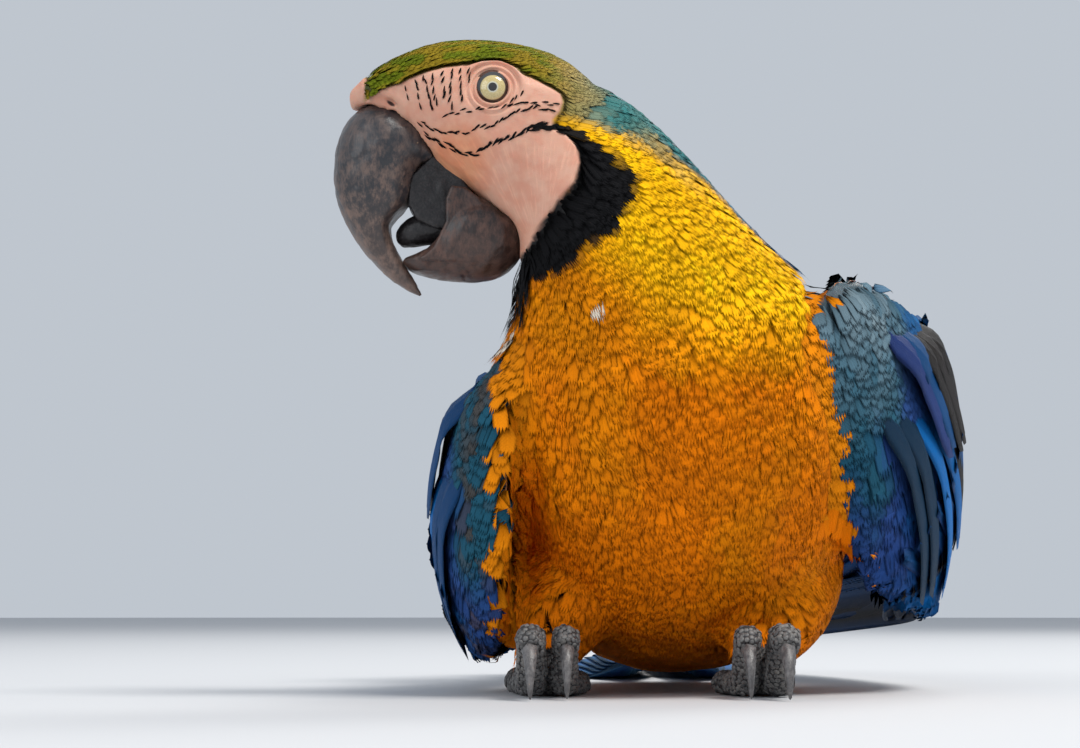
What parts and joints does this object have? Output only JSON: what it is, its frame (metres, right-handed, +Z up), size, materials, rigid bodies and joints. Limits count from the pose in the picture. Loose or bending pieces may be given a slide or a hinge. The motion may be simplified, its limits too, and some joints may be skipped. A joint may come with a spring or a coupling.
{
  "type": "blue-and-yellow macaw",
  "caption": "A life-size model of a blue-and-yellow macaw, crouched on its feet and tail, its head turned to its right and its bill open",
  "frame": {"origin": "middle of the bird's outline seen from above, on the floor it rests on", "axes": "+Z up, +Y back along the tail, so the breast faces -Y and the bird's left side is +X"},
  "size_m": [0.2384, 0.6904, 0.2304],
  "materials": {
    "yellow breast": "soft yellow feathers, matt",
    "bare pink skin": "bare skin with fine folds, satin",
    "black horn": "worn horn, satin",
    "black tongue": "moist dark skin, satin",
    "pale yellow iris": "glass eye, polished",
    "blue vane": "smooth feather vanes, satin",
    "grey scaled skin": "scaled foot skin, matt"
  },
  "bodies": {
    "root": {"rump": "yellow breast", "belly": "yellow breast", "breast": "yellow breast", "neck": "yellow breast", "head": "bare pink skin", "cere": "bare pink skin", "upper_bill": "black horn", "lower_bill": "black horn", "tongue": "black tongue", "eye_left": "pale yellow iris", "eye_right": "pale yellow iris", "wing_left_arm": "blue vane", "wing_left_primaries": "blue vane", "wing_left_secondaries": "blue vane", "wing_left_tertials": "blue vane", "wing_right_arm": "blue vane", "wing_right_primaries": "blue vane", "wing_right_secondaries": "blue vane", "wing_right_tertials": "blue vane", "thigh_left": "yellow breast", "tarsus_left": "grey scaled skin", "toe_left_front_inner": "grey scaled skin", "claw_left_front_inner": "black horn", "toe_left_front_outer": "grey scaled skin", "claw_left_front_outer": "black horn", "toe_left_back_inner": "grey scaled skin", "claw_left_back_inner": "black horn", "toe_left_back_outer": "grey scaled skin", "claw_left_back_outer": "black horn", "thigh_right": "yellow breast", "tarsus_right": "grey scaled skin", "toe_right_front_inner": "grey scaled skin", "claw_right_front_inner": "black horn", "toe_right_front_outer": "grey scaled skin", "claw_right_front_outer": "black horn", "toe_right_back_inner": "grey scaled skin", "claw_right_back_inner": "black horn", "toe_right_back_outer": "grey scaled skin", "claw_right_back_outer": "black horn", "tail_left_1": "blue vane", "tail_left_2": "blue vane", "tail_left_3": "blue vane", "tail_left_4": "blue vane", "tail_left_5": "blue vane", "tail_left_6": "blue vane", "tail_right_1": "blue vane", "tail_right_2": "blue vane", "tail_right_3": "blue vane", "tail_right_4": "blue vane", "tail_right_5": "blue vane", "tail_right_6": "blue vane"}
  },
  "joints": []
}
